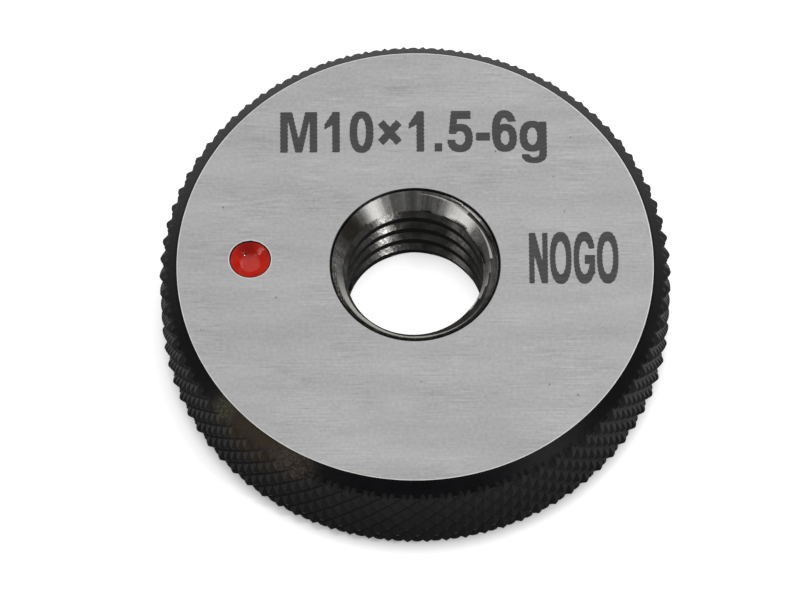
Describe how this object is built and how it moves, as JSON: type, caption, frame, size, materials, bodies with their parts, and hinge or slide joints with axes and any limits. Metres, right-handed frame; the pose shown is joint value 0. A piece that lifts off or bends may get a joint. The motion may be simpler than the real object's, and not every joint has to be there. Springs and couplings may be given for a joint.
{
  "type": "thread ring gauge",
  "caption": "Knurled steel ring gauge for an external metric thread, no-go side, with countersunk threaded bore and red marker dimple.",
  "frame": {"origin": "centre of the bore on the bottom face", "axes": "+Z along the bore out of the marked face, +X towards the no-go mark, the marker dimple on the -X side"},
  "size_m": [0.032, 0.032, 0.008],
  "materials": {
    "gauge_steel": "ground faces, black oxide on rim and bore",
    "red_lacquer": "gloss lacquer"
  },
  "bodies": {
    "root": {"gauge_ring": "gauge_steel", "red_lacquer": "red_lacquer"}
  },
  "joints": []
}
